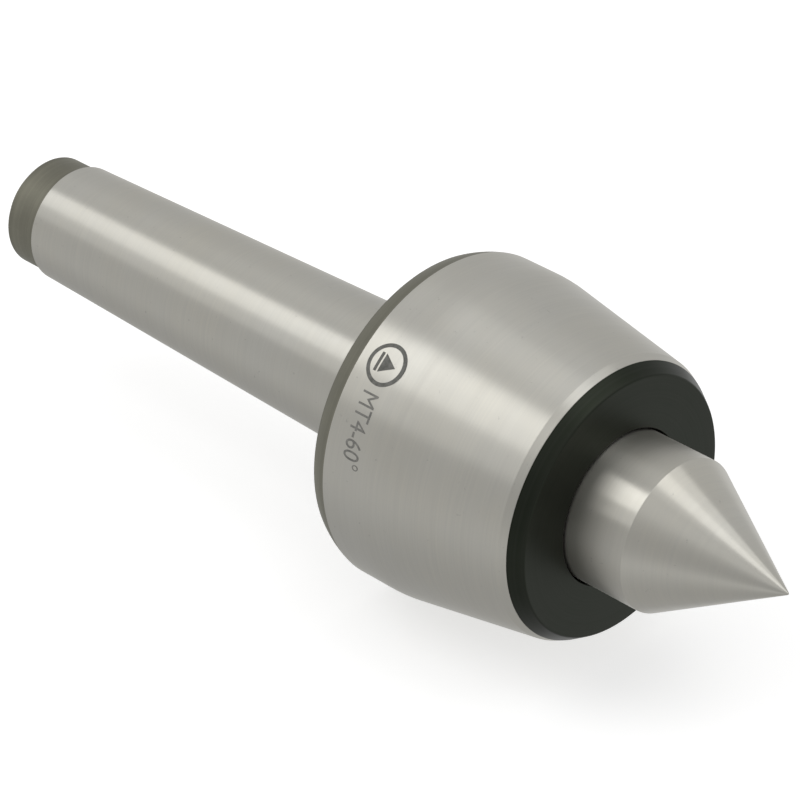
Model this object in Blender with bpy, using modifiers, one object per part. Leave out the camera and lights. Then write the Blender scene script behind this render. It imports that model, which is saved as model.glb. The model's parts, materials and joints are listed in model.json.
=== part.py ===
"""A live center for a lathe tailstock, with a Morse taper 4 shank, piece by piece.

The origin is the middle of the taper's gauge plane. +X runs along the spindle's axis
towards the point and +Z is up. Outlines of turned pieces are lists of (radius, along),
where along is the distance from the gauge plane towards the point.
"""
import math

import bmesh
import bpy
from mathutils import Matrix

MM = 0.001
FIT = 0.3 * MM  # space between two pieces that touch

# Shank, Morse taper 4
GAUGE_RADIUS = 31.267 / 2 * MM
TAPER_RISE = 1 / 19.254 / 2  # growth of the radius per length
TAPER_FRONT = 4.1 * MM
TAPER_REAR = -101.2 * MM
RELIEF_DEPTH = 0.4 * MM
STUB_RADIUS = 24.5 / 2 * MM
STUB_END = -111.0 * MM
STUB_CHAMFER = 1.5 * MM
CENTER_HOLE_RADIUS = 3.2 * MM
CENTER_DRILL_RADIUS = 1.25 * MM
CENTER_HOLE_BOTTOM = -103.0 * MM

# Housing, one piece with the shank
HOUSING_RADIUS = 35.0 * MM
REAR_FACE = 6.5 * MM
BAND_ROUND = 16.0 * MM  # convex band at the housing's rear edge
BAND_START = math.radians(14)
BAND_END = math.radians(31)
CONE_START = 21.6 * MM
CONE_RISE = 0.165  # loss of the radius per length
SHOULDER_ROUND = 30.0 * MM
GROUND_EDGE_START = 52.4 * MM  # steeper ground edge in front of the cone
HOUSING_FRONT = 54.0 * MM
FRONT_RADIUS = 29.15 * MM
THREAD_RADIUS = 27.0 * MM
THREAD_BOTTOM = 46.0 * MM
DRILL_POINT = math.radians(59)  # half angle of the drill that made the blind bore
EDGE = 0.4 * MM  # common edge chamfer
FINE_EDGE = 0.2 * MM  # edge chamfer on thin and ground edges

# Front cover
COVER_FRONT = 56.9 * MM
FLANGE_REAR_RADIUS = 28.95 * MM
FLANGE_FRONT_RADIUS = 27.3 * MM
SPIGOT_END = 46.6 * MM
SEAL_POCKET_RADIUS = 21.0 * MM
SEAL_POCKET_TOP = 51.4 * MM
COVER_BORE_RADIUS = 16.4 * MM

# Shaft seal
SEAL_HEIGHT = 4.0 * MM
SEAL_CASE = 1.1 * MM  # thickness of the leg that is pressed into the pocket
SEAL_WEB = 1.3 * MM
LIP_ROOT = 0.5 * MM  # radial distance of the lip's root from its edge
LIP_BACK = 1.3 * MM
LIP_EDGE = 1.2 * MM  # distance of the lip's edge from the seal's rear

# Wave spring
SPRING_INNER = 22.6 * MM
SPRING_OUTER = 25.7 * MM
SPRING_HALF_THICKNESS = 0.25 * MM
SPRING_HEIGHT = 0.6 * MM
SPRING_WAVES = 4
SPRING_STEPS = 48

# Spindle
POINT_HALF_ANGLE = math.radians(30)
NOSE_RADIUS = 16.0 * MM
NOSE_FRONT = 71.0 * MM
TIP_RADIUS = 0.2 * MM
FRONT_JOURNAL_RADIUS = 12.5 * MM
MIDDLE_RADIUS = 10.0 * MM
THRUST_SHOULDER = 25.6 * MM
REAR_JOURNAL_RADIUS = 7.5 * MM
REAR_JOURNAL_START = 8.5 * MM
SPINDLE_END = -31.1 * MM
SPINDLE_CENTER_RADIUS = 1.8 * MM
CENTER_HALF_ANGLE = math.radians(30)  # center holes at both ends of the object

# Front ball bearing, 25 x 52 x 15 mm
FRONT_MIDDLE = 36.7 * MM
FRONT_WIDTH = 15.0 * MM
FRONT_OUTER_RADIUS = 26.0 * MM
FRONT_OUTER_SHOULDER = 22.0 * MM
FRONT_INNER_SHOULDER = 16.5 * MM
FRONT_PITCH = 19.25 * MM
FRONT_GROOVE = 4.2 * MM
FRONT_BALL_RADIUS = 3.9 * MM
FRONT_BALLS = 9
FRONT_CAGE_INNER = 18.3 * MM
FRONT_CAGE_OUTER = 20.2 * MM
FRONT_CAGE_HALF_WIDTH = 5.3 * MM

# Thrust ball bearing, 20 x 40 x 14 mm
THRUST_MIDDLE = 18.3 * MM
THRUST_HALF_HEIGHT = 7.0 * MM
THRUST_HALF_GAP = 3.0 * MM
THRUST_RADIUS = 20.0 * MM
THRUST_PITCH = 15.0 * MM
THRUST_GROOVE = 3.7 * MM
THRUST_BALL_RADIUS = 3.45 * MM
THRUST_BALLS = 10
THRUST_CAGE_HALF_WIDTH = 1.2 * MM

# Needle bearing, 15 x 23 x 16 mm
NEEDLE_MIDDLE = -20.5 * MM
NEEDLE_WIDTH = 16.0 * MM
NEEDLE_OUTER_RADIUS = 11.5 * MM
NEEDLE_RACE_RADIUS = 10.15 * MM
NEEDLE_RIB_RADIUS = 9.75 * MM
NEEDLE_RIB_WIDTH = 1.4 * MM
NEEDLE_PITCH = 8.8 * MM
NEEDLE_RADIUS = 1.1 * MM
NEEDLES = 12
NEEDLE_CAGE_INNER = 8.2 * MM
NEEDLE_CAGE_OUTER = 9.4 * MM
DRILL_DEPTH = 4.5 * MM  # blind bore behind the needle bearing

# Retaining rings
RING_THICKNESS = 1.2 * MM
RING_GROOVE_DEPTH = 0.6 * MM
LUG_TURN = math.radians(17)  # angle from the middle of the opening to a lug
LUG_HOLE_SHARE = 0.45  # plier hole as a share of its lug
SPINDLE_RING_OUTER = 14.6 * MM
SPINDLE_RING_LUG_CIRCLE = 14.4 * MM
SPINDLE_RING_LUG = 1.9 * MM
NEEDLE_RING_INNER = 10.3 * MM
NEEDLE_RING_LUG_CIRCLE = 10.2 * MM
NEEDLE_RING_LUG = 1.4 * MM

CAGE_EDGE = 0.1 * MM
POCKET_CUT = 8.0 * MM  # length of the cutters that make cage pockets
SLOT_CUT = 5.0 * MM  # depth of the cutters that make cage slots

OUTER_STEPS = 40  # facets round the large turned pieces
INNER_STEPS = 32  # facets round the pieces inside

GROUND_STEEL = ((0.55, 0.54, 0.50, 1.0), 0.30, 1.0)
BLACK_OXIDE = ((0.025, 0.028, 0.024, 1.0), 0.45, 0.6)
BEARING_STEEL = ((0.62, 0.62, 0.62, 1.0), 0.15, 1.0)
PRESSED_STEEL = ((0.45, 0.44, 0.41, 1.0), 0.40, 1.0)
BRASS = ((0.62, 0.42, 0.14, 1.0), 0.35, 1.0)
SPRING_STEEL = ((0.18, 0.18, 0.19, 1.0), 0.35, 1.0)
NITRILE = ((0.02, 0.02, 0.02, 1.0), 0.65, 0.0)


def new_collection(name):
    """A collection linked to the scene."""
    made = bpy.data.collections.new(name)
    bpy.context.scene.collection.children.link(made)
    return made


for leftover in list(bpy.data.objects):
    bpy.data.objects.remove(leftover, do_unlink=True)

parts = new_collection("live_center")
cutters = new_collection("cutters")

# Local +Z of everything under this empty is the spindle's axis, world +X.
axis_frame = bpy.data.objects.new("spindle_axis", None)
axis_frame.rotation_euler = (0, math.radians(90), 0)
parts.objects.link(axis_frame)


def finish_material(name, finish):
    """A Principled material for one sub-part."""
    color, roughness, metallic = finish
    material = bpy.data.materials.new(name)
    material.use_nodes = True
    shader = material.node_tree.nodes["Principled BSDF"]
    shader.inputs["Base Color"].default_value = color
    shader.inputs["Roughness"].default_value = roughness
    shader.inputs["Metallic"].default_value = metallic
    return material


def add_piece(name, mesh, finish=None):
    """Put a mesh on the spindle's axis as a part, with its own material."""
    piece = bpy.data.objects.new(name, mesh)
    parts.objects.link(piece)
    piece.parent = axis_frame
    if finish:
        mesh.materials.append(finish_material(name, finish))
    return piece


def add_cutter(name, mesh):
    """Put a mesh on the spindle's axis as a tool for Boolean modifiers."""
    cutter = bpy.data.objects.new(name, mesh)
    cutters.objects.link(cutter)
    cutter.parent = axis_frame
    cutter.hide_render = True
    cutter.display_type = 'WIRE'
    return cutter


def combine(piece, cutter, operation):
    """Cut a piece with a cutter, or join the cutter's shape to it."""
    boolean = piece.modifiers.new(cutter.name, 'BOOLEAN')
    boolean.operation = operation
    boolean.solver = 'EXACT'
    boolean.object = cutter


def arc(center, radius, start, end, count):
    """Points on an arc of an outline; angles turn from outwards towards the point."""
    points = []
    for step in range(count):
        angle = start + (end - start) * step / (count - 1)
        points.append((center[0] + radius * math.cos(angle), center[1] + radius * math.sin(angle)))
    return points


def turned(name, outline, steps, finish, closed=True):
    """Turn an outline about the axis: a ring if it is closed, a solid if it ends on the axis."""
    points = [(radius, 0.0, along) for radius, along in outline]
    edges = [(index, index + 1) for index in range(len(points) - 1)]
    if closed:
        edges.append((len(points) - 1, 0))
    mesh = bpy.data.meshes.new(name)
    mesh.from_pydata(points, edges, [])
    piece = add_piece(name, mesh, finish)
    screw = piece.modifiers.new("Turn", 'SCREW')
    screw.axis = 'Z'
    screw.angle = math.tau
    screw.steps = steps
    screw.render_steps = steps
    screw.use_merge_vertices = True
    screw.merge_threshold = 0.000001
    screw.use_smooth_shade = True
    return piece


def ring_outline(inner, outer, rear, front, chamfer):
    """A ring's section with its outer edges chamfered."""
    return [
        (outer - chamfer, front),
        (outer, front - chamfer),
        (outer, rear + chamfer),
        (outer - chamfer, rear),
        (inner, rear),
        (inner, front),
    ]


def round_cutters(name, count, radius, length, segments, place):
    """One cutter of equal cylinders along local Z, each put in place by place(index)."""
    shapes = bmesh.new()
    for index in range(count):
        bmesh.ops.create_cone(
            shapes, cap_ends=True, segments=segments, radius1=radius, radius2=radius,
            depth=length, matrix=place(index))
    mesh = bpy.data.meshes.new(name)
    shapes.to_mesh(mesh)
    shapes.free()
    return add_cutter(name, mesh)


def box_cutters(name, count, size, place):
    """One cutter of equal boxes, each put in place by place(index)."""
    shapes = bmesh.new()
    for index in range(count):
        scale = Matrix.Diagonal((size[0], size[1], size[2], 1.0))
        bmesh.ops.create_cube(shapes, size=1.0, matrix=place(index) @ scale)
    mesh = bpy.data.meshes.new(name)
    shapes.to_mesh(mesh)
    shapes.free()
    return add_cutter(name, mesh)


def around(index, count, radius, along):
    """A place on a circle round the axis, with local X pointing outwards."""
    turn = Matrix.Rotation(math.tau * index / count, 4, 'Z')
    return turn @ Matrix.Translation((radius, 0, along))


def taper_radius(along):
    """Radius of the Morse taper at a distance from its gauge plane."""
    return GAUGE_RADIUS + TAPER_RISE * along


def cone_radius(along):
    """Radius of the housing's front cone."""
    return HOUSING_RADIUS - CONE_RISE * (along - CONE_START)


def housing_outline():
    """Cavity from its bottom to the mouth, then the outside back to the center hole."""
    needle_rear = NEEDLE_MIDDLE - NEEDLE_WIDTH / 2
    needle_front = NEEDLE_MIDDLE + NEEDLE_WIDTH / 2
    groove_front = needle_front + RING_THICKNESS + 2 * FIT
    needle_bore = NEEDLE_OUTER_RADIUS + FIT
    groove_radius = NEEDLE_OUTER_RADIUS + FIT + RING_GROOVE_DEPTH + FINE_EDGE / 2
    drill_radius = REAR_JOURNAL_RADIUS + 1.0 * MM
    drill_end = needle_rear - DRILL_DEPTH
    drill_tip = drill_end - drill_radius / math.tan(DRILL_POINT)
    thrust_floor = THRUST_MIDDLE - THRUST_HALF_HEIGHT - FIT
    thrust_bore = THRUST_RADIUS + FIT
    bearing_floor = FRONT_MIDDLE - FRONT_WIDTH / 2 - 1.0 * MM
    bearing_bore = FRONT_OUTER_RADIUS + FIT
    cavity = [
        (0.0, drill_tip),
        (drill_radius, drill_end),
        (drill_radius, needle_rear - FIT),
        (needle_bore, needle_rear - FIT),
        (needle_bore, needle_front),
        (groove_radius, needle_front),
        (groove_radius, groove_front),
        (needle_bore, groove_front),
        (needle_bore, thrust_floor - EDGE),
        (needle_bore + EDGE, thrust_floor),
        (thrust_bore, thrust_floor),
        (thrust_bore, bearing_floor - EDGE),
        (thrust_bore + EDGE, bearing_floor),
        (bearing_bore, bearing_floor),
        (bearing_bore, THREAD_BOTTOM),
        (THREAD_RADIUS, THREAD_BOTTOM),
        (THREAD_RADIUS, HOUSING_FRONT - EDGE),
        (THREAD_RADIUS + EDGE, HOUSING_FRONT),
    ]

    slope = math.atan(CONE_RISE)
    tangent = SHOULDER_ROUND * math.tan(slope / 2)
    shoulder = arc(
        (HOUSING_RADIUS - SHOULDER_ROUND, CONE_START - tangent), SHOULDER_ROUND, slope, 0.0, 4)
    band_center = (
        HOUSING_RADIUS - BAND_ROUND * math.cos(BAND_START),
        REAR_FACE + BAND_ROUND * math.sin(BAND_END))
    band = arc(band_center, BAND_ROUND, -BAND_START, -BAND_END, 4)
    front = [
        (FRONT_RADIUS, HOUSING_FRONT),
        (cone_radius(GROUND_EDGE_START), GROUND_EDGE_START),
    ]

    relief_radius = taper_radius(TAPER_FRONT) - RELIEF_DEPTH
    hole_depth = (CENTER_HOLE_RADIUS - CENTER_DRILL_RADIUS) / math.tan(CENTER_HALF_ANGLE)
    drill_tip_depth = CENTER_DRILL_RADIUS / math.tan(DRILL_POINT)
    shank = [
        (relief_radius, REAR_FACE),
        (relief_radius, TAPER_FRONT + RELIEF_DEPTH),
        (taper_radius(TAPER_FRONT), TAPER_FRONT),
        (taper_radius(TAPER_REAR + FINE_EDGE), TAPER_REAR + FINE_EDGE),
        (taper_radius(TAPER_REAR) - FINE_EDGE, TAPER_REAR),
        (STUB_RADIUS, TAPER_REAR),
        (STUB_RADIUS, STUB_END + STUB_CHAMFER),
        (STUB_RADIUS - STUB_CHAMFER, STUB_END),
        (CENTER_HOLE_RADIUS, STUB_END),
        (CENTER_DRILL_RADIUS, STUB_END + hole_depth),
        (CENTER_DRILL_RADIUS, CENTER_HOLE_BOTTOM),
        (0.0, CENTER_HOLE_BOTTOM + drill_tip_depth),
    ]
    return cavity + front + shoulder + band + shank


def cover_outline():
    """Flange with a sloping edge, threaded spigot, seal pocket and bore."""
    return [
        (COVER_BORE_RADIUS + FINE_EDGE, COVER_FRONT),
        (FLANGE_FRONT_RADIUS, COVER_FRONT),
        (FLANGE_REAR_RADIUS, HOUSING_FRONT + FIT),
        (THREAD_RADIUS - FIT, HOUSING_FRONT + FIT),
        (THREAD_RADIUS - FIT, SPIGOT_END + EDGE),
        (THREAD_RADIUS - FIT - EDGE, SPIGOT_END),
        (SEAL_POCKET_RADIUS + EDGE, SPIGOT_END),
        (SEAL_POCKET_RADIUS, SPIGOT_END + EDGE),
        (SEAL_POCKET_RADIUS, SEAL_POCKET_TOP),
        (COVER_BORE_RADIUS, SEAL_POCKET_TOP),
        (COVER_BORE_RADIUS, COVER_FRONT - FINE_EDGE),
    ]


def seal_outline():
    """Radial shaft seal: case leg, web and a lip that points into the housing."""
    outer = SEAL_POCKET_RADIUS - FIT
    front = SEAL_POCKET_TOP - FIT
    rear = front - SEAL_HEIGHT
    lip = NOSE_RADIUS + FIT
    return [
        (outer - FIT, front),
        (outer, front - FIT),
        (outer, rear),
        (outer - SEAL_CASE, rear),
        (outer - SEAL_CASE, front - SEAL_WEB),
        (lip + LIP_BACK + EDGE, front - SEAL_WEB),
        (lip + LIP_BACK, rear + LIP_ROOT),
        (lip + LIP_ROOT, rear + LIP_ROOT),
        (lip, rear + LIP_EDGE),
        (lip + LIP_ROOT, front - SEAL_WEB),
        (lip + LIP_ROOT, front),
    ]


def spindle_outline():
    """From the tip of the point, down the outside, to the rear journal's end."""
    tip = NOSE_FRONT + (NOSE_RADIUS - TIP_RADIUS) / math.tan(POINT_HALF_ANGLE)
    shoulder = FRONT_MIDDLE + FRONT_WIDTH / 2 + FIT
    groove_front = FRONT_MIDDLE - FRONT_WIDTH / 2
    groove_rear = groove_front - RING_THICKNESS - 2 * FIT
    groove_radius = FRONT_JOURNAL_RADIUS - RING_GROOVE_DEPTH
    step = 1.0 * MM  # chamfer in front of the rear journal
    return [
        (0.0, tip + TIP_RADIUS / 4),
        (TIP_RADIUS, tip),
        (NOSE_RADIUS, NOSE_FRONT),
        (NOSE_RADIUS, shoulder + EDGE),
        (NOSE_RADIUS - EDGE, shoulder),
        (FRONT_JOURNAL_RADIUS, shoulder),
        (FRONT_JOURNAL_RADIUS, groove_front),
        (groove_radius, groove_front),
        (groove_radius, groove_rear),
        (FRONT_JOURNAL_RADIUS, groove_rear),
        (FRONT_JOURNAL_RADIUS, THRUST_SHOULDER),
        (MIDDLE_RADIUS, THRUST_SHOULDER),
        (MIDDLE_RADIUS, REAR_JOURNAL_START + step),
        (MIDDLE_RADIUS - step, REAR_JOURNAL_START),
        (REAR_JOURNAL_RADIUS, REAR_JOURNAL_START),
        (REAR_JOURNAL_RADIUS, SPINDLE_END + EDGE),
        (REAR_JOURNAL_RADIUS - EDGE, SPINDLE_END),
        (SPINDLE_CENTER_RADIUS, SPINDLE_END),
        (0.0, SPINDLE_END + SPINDLE_CENTER_RADIUS / math.tan(CENTER_HALF_ANGLE)),
    ]


def groove_angle(shoulder_offset, groove):
    """Half angle over which a ball groove opens through its shoulder."""
    return math.acos(shoulder_offset / groove)


def front_outer_outline():
    """Outer ring of the front bearing, with its groove on the inside."""
    rear = FRONT_MIDDLE - FRONT_WIDTH / 2
    front = FRONT_MIDDLE + FRONT_WIDTH / 2
    half = groove_angle(FRONT_OUTER_SHOULDER - FRONT_PITCH, FRONT_GROOVE)
    return [
        (FRONT_OUTER_RADIUS - EDGE, front),
        (FRONT_OUTER_RADIUS, front - EDGE),
        (FRONT_OUTER_RADIUS, rear + EDGE),
        (FRONT_OUTER_RADIUS - EDGE, rear),
        (FRONT_OUTER_SHOULDER, rear),
        *arc((FRONT_PITCH, FRONT_MIDDLE), FRONT_GROOVE, -half, half, 5),
        (FRONT_OUTER_SHOULDER, front),
    ]


def front_inner_outline():
    """Inner ring of the front bearing, with its groove on the outside."""
    rear = FRONT_MIDDLE - FRONT_WIDTH / 2
    front = FRONT_MIDDLE + FRONT_WIDTH / 2
    bore = FRONT_JOURNAL_RADIUS + FIT
    half = groove_angle(FRONT_PITCH - FRONT_INNER_SHOULDER, FRONT_GROOVE)
    return [
        (FRONT_INNER_SHOULDER, front),
        *arc((FRONT_PITCH, FRONT_MIDDLE), FRONT_GROOVE, math.pi - half, math.pi + half, 5),
        (FRONT_INNER_SHOULDER, rear),
        (bore + EDGE, rear),
        (bore, rear + EDGE),
        (bore, front - EDGE),
        (bore + EDGE, front),
    ]


def shaft_washer_outline():
    """Thrust washer that turns with the spindle, with its groove on the rear face."""
    rear = THRUST_MIDDLE + THRUST_HALF_GAP
    front = THRUST_MIDDLE + THRUST_HALF_HEIGHT
    outer = THRUST_RADIUS - 0.5 * MM
    bore = MIDDLE_RADIUS + FIT
    half = groove_angle(THRUST_HALF_GAP, THRUST_GROOVE)
    up = math.pi / 2
    return [
        (outer - EDGE, front),
        (outer, front - EDGE),
        (outer, rear),
        *arc((THRUST_PITCH, THRUST_MIDDLE), THRUST_GROOVE, up - half, up + half, 5),
        (bore, rear),
        (bore, front - EDGE),
        (bore + EDGE, front),
    ]


def housing_washer_outline():
    """Thrust washer that rests in the housing, with its groove on the front face."""
    rear = THRUST_MIDDLE - THRUST_HALF_HEIGHT
    front = THRUST_MIDDLE - THRUST_HALF_GAP
    bore = MIDDLE_RADIUS + 0.8 * MM
    half = groove_angle(THRUST_HALF_GAP, THRUST_GROOVE)
    down = -math.pi / 2
    return [
        (THRUST_RADIUS, front),
        (THRUST_RADIUS, rear + EDGE),
        (THRUST_RADIUS - EDGE, rear),
        (bore + EDGE, rear),
        (bore, rear + EDGE),
        (bore, front),
        *arc((THRUST_PITCH, THRUST_MIDDLE), THRUST_GROOVE, down - half, down + half, 5),
    ]


def needle_ring_outline():
    """Outer ring of the needle bearing, with a rib at each end of its race."""
    rear = NEEDLE_MIDDLE - NEEDLE_WIDTH / 2
    front = NEEDLE_MIDDLE + NEEDLE_WIDTH / 2
    return [
        (NEEDLE_OUTER_RADIUS - FIT, front),
        (NEEDLE_OUTER_RADIUS, front - FIT),
        (NEEDLE_OUTER_RADIUS, rear + FIT),
        (NEEDLE_OUTER_RADIUS - FIT, rear),
        (NEEDLE_RIB_RADIUS, rear),
        (NEEDLE_RIB_RADIUS, rear + NEEDLE_RIB_WIDTH),
        (NEEDLE_RACE_RADIUS, rear + NEEDLE_RIB_WIDTH),
        (NEEDLE_RACE_RADIUS, front - NEEDLE_RIB_WIDTH),
        (NEEDLE_RIB_RADIUS, front - NEEDLE_RIB_WIDTH),
        (NEEDLE_RIB_RADIUS, front),
    ]


def wave_spring():
    """A closed ring of thin strip that waves round the axis."""
    corners = ((SPRING_INNER, -1), (SPRING_OUTER, -1), (SPRING_OUTER, 1), (SPRING_INNER, 1))
    gap_rear = FRONT_MIDDLE + FRONT_WIDTH / 2
    middle = (gap_rear + SPIGOT_END) / 2
    strip = bmesh.new()
    sections = []
    for step in range(SPRING_STEPS):
        angle = math.tau * step / SPRING_STEPS
        along = middle + SPRING_HEIGHT * math.cos(SPRING_WAVES * angle)
        section = []
        for radius, side in corners:
            across = (radius * math.cos(angle), radius * math.sin(angle))
            section.append(strip.verts.new((*across, along + side * SPRING_HALF_THICKNESS)))
        sections.append(section)
    for step in range(SPRING_STEPS):
        here = sections[step]
        there = sections[(step + 1) % SPRING_STEPS]
        for corner in range(len(corners)):
            following = (corner + 1) % len(corners)
            strip.faces.new((here[corner], there[corner], there[following], here[following]))
    bmesh.ops.recalc_face_normals(strip, faces=strip.faces)
    mesh = bpy.data.meshes.new("wave_spring")
    strip.to_mesh(mesh)
    strip.free()
    return add_piece("wave_spring", mesh, SPRING_STEEL)


def retaining_ring(name, inner, outer, rear, lug_circle, lug_radius):
    """A snap ring: turned ring, opened between two lugs with plier holes."""
    front = rear + RING_THICKNESS
    middle = (rear + front) / 2
    hole_radius = lug_radius * LUG_HOLE_SHARE
    ring = turned(
        name, ring_outline(inner, outer, rear, front, CAGE_EDGE), INNER_STEPS, SPRING_STEEL)

    def lug_place(index):
        turn = Matrix.Rotation(LUG_TURN * (1 if index else -1), 4, 'Z')
        return turn @ Matrix.Translation((lug_circle, 0, middle))

    lug_length = RING_THICKNESS - FIT / 10  # a little thinner, so that no faces coincide
    lugs = round_cutters(name + "_lugs", 2, lug_radius, lug_length, 16, lug_place)
    holes = round_cutters(name + "_holes", 2, hole_radius, 3 * RING_THICKNESS, 10, lug_place)
    opening_width = lug_circle * math.sin(LUG_TURN) * 1.1
    opening_size = (outer, opening_width, 3 * RING_THICKNESS)
    opening = box_cutters(
        name + "_opening", 1, opening_size,
        lambda index: Matrix.Translation((lug_circle, 0, middle)))
    combine(ring, lugs, 'UNION')
    combine(ring, opening, 'DIFFERENCE')
    combine(ring, holes, 'DIFFERENCE')
    return ring


def front_cage():
    """A band between the rings with a round pocket for each ball."""
    rear = FRONT_MIDDLE - FRONT_CAGE_HALF_WIDTH
    front = FRONT_MIDDLE + FRONT_CAGE_HALF_WIDTH
    pocket = FRONT_BALL_RADIUS + FIT
    cage = turned(
        "front_bearing_cage",
        ring_outline(FRONT_CAGE_INNER, FRONT_CAGE_OUTER, rear, front, CAGE_EDGE),
        FRONT_BALLS * 4, BRASS)
    turn_out = Matrix.Rotation(math.pi / 2, 4, 'Y')

    def pocket_place(index):
        return around(index, FRONT_BALLS, FRONT_PITCH, FRONT_MIDDLE) @ turn_out

    pockets = round_cutters("front_pockets", FRONT_BALLS, pocket, POCKET_CUT, 16, pocket_place)
    combine(cage, pockets, 'DIFFERENCE')


def thrust_cage():
    """A flat disc between the washers with a round pocket for each ball."""
    rear = THRUST_MIDDLE - THRUST_CAGE_HALF_WIDTH
    front = THRUST_MIDDLE + THRUST_CAGE_HALF_WIDTH
    pocket = THRUST_BALL_RADIUS + FIT
    inner = MIDDLE_RADIUS + 0.5 * MM
    outer = THRUST_RADIUS - 0.5 * MM
    cage = turned(
        "thrust_bearing_cage",
        ring_outline(inner, outer, rear, front, CAGE_EDGE),
        THRUST_BALLS * 4, PRESSED_STEEL)

    def pocket_place(index):
        return around(index, THRUST_BALLS, THRUST_PITCH, THRUST_MIDDLE)

    pockets = round_cutters("thrust_pockets", THRUST_BALLS, pocket, POCKET_CUT, 16, pocket_place)
    combine(cage, pockets, 'DIFFERENCE')


def needle_cage():
    """A thin sleeve with a slot for each needle."""
    rear = NEEDLE_MIDDLE - NEEDLE_WIDTH / 2 + FIT
    front = NEEDLE_MIDDLE + NEEDLE_WIDTH / 2 - FIT
    slot_length = NEEDLE_WIDTH - 2 * NEEDLE_RIB_WIDTH
    slot_width = 2 * (NEEDLE_RADIUS + 0.25 * MM)
    cage = turned(
        "needle_bearing_cage",
        ring_outline(NEEDLE_CAGE_INNER, NEEDLE_CAGE_OUTER, rear, front, CAGE_EDGE),
        NEEDLES * 3, PRESSED_STEEL)

    def slot_place(index):
        return around(index, NEEDLES, NEEDLE_PITCH, NEEDLE_MIDDLE)

    slots = box_cutters("needle_slots", NEEDLES, (SLOT_CUT, slot_width, slot_length), slot_place)
    combine(cage, slots, 'DIFFERENCE')


def ball_mesh(name, radius):
    """A coarse ball."""
    shape = bmesh.new()
    bmesh.ops.create_icosphere(shape, subdivisions=2, radius=radius)
    mesh = bpy.data.meshes.new(name)
    shape.to_mesh(mesh)
    shape.free()
    mesh.shade_smooth()
    mesh.materials.append(finish_material(name, BEARING_STEEL))
    return mesh


def needle_mesh(length):
    """A needle along the axis."""
    shape = bmesh.new()
    bmesh.ops.create_cone(
        shape, cap_ends=True, segments=10, radius1=NEEDLE_RADIUS, radius2=NEEDLE_RADIUS, depth=length)
    mesh = bpy.data.meshes.new("needle")
    shape.to_mesh(mesh)
    shape.free()
    mesh.materials.append(finish_material("needle", BEARING_STEEL))
    return mesh


def rolling_set(name, mesh, count, pitch, along):
    """One piece for each ball or needle, its origin in its own middle."""
    for index in range(count):
        piece = add_piece(f"{name}_{index + 1}", mesh)
        piece.matrix_basis = around(index, count, pitch, along)


turned("housing_body", housing_outline(), OUTER_STEPS, GROUND_STEEL, closed=False)
turned("front_cover", cover_outline(), OUTER_STEPS, BLACK_OXIDE)
turned("shaft_seal", seal_outline(), INNER_STEPS, NITRILE)
wave_spring()
turned("spindle", spindle_outline(), OUTER_STEPS, GROUND_STEEL, closed=False)
retaining_ring(
    "spindle_retaining_ring", FRONT_JOURNAL_RADIUS - FIT, SPINDLE_RING_OUTER,
    FRONT_MIDDLE - FRONT_WIDTH / 2 - FIT - RING_THICKNESS, SPINDLE_RING_LUG_CIRCLE, SPINDLE_RING_LUG)

turned("front_bearing_outer_ring", front_outer_outline(), INNER_STEPS, BEARING_STEEL)
turned("front_bearing_inner_ring", front_inner_outline(), INNER_STEPS, BEARING_STEEL)
front_cage()
rolling_set(
    "front_bearing_ball", ball_mesh("front_bearing_ball", FRONT_BALL_RADIUS),
    FRONT_BALLS, FRONT_PITCH, FRONT_MIDDLE)

turned("thrust_bearing_shaft_washer", shaft_washer_outline(), INNER_STEPS, BEARING_STEEL)
turned("thrust_bearing_housing_washer", housing_washer_outline(), INNER_STEPS, BEARING_STEEL)
thrust_cage()
rolling_set(
    "thrust_bearing_ball", ball_mesh("thrust_bearing_ball", THRUST_BALL_RADIUS),
    THRUST_BALLS, THRUST_PITCH, THRUST_MIDDLE)

turned("needle_bearing_outer_ring", needle_ring_outline(), INNER_STEPS, BEARING_STEEL)
needle_cage()
rolling_set(
    "needle", needle_mesh(NEEDLE_WIDTH - 2 * NEEDLE_RIB_WIDTH - 2 * FIT),
    NEEDLES, NEEDLE_PITCH, NEEDLE_MIDDLE)
retaining_ring(
    "needle_retaining_ring", NEEDLE_RING_INNER, NEEDLE_OUTER_RADIUS + RING_GROOVE_DEPTH + CAGE_EDGE,
    NEEDLE_MIDDLE + NEEDLE_WIDTH / 2 + FIT, NEEDLE_RING_LUG_CIRCLE, NEEDLE_RING_LUG)

bpy.context.view_layer.update()
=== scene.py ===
import json
import math

import bmesh
import bpy
from mathutils import Matrix, Vector


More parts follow.
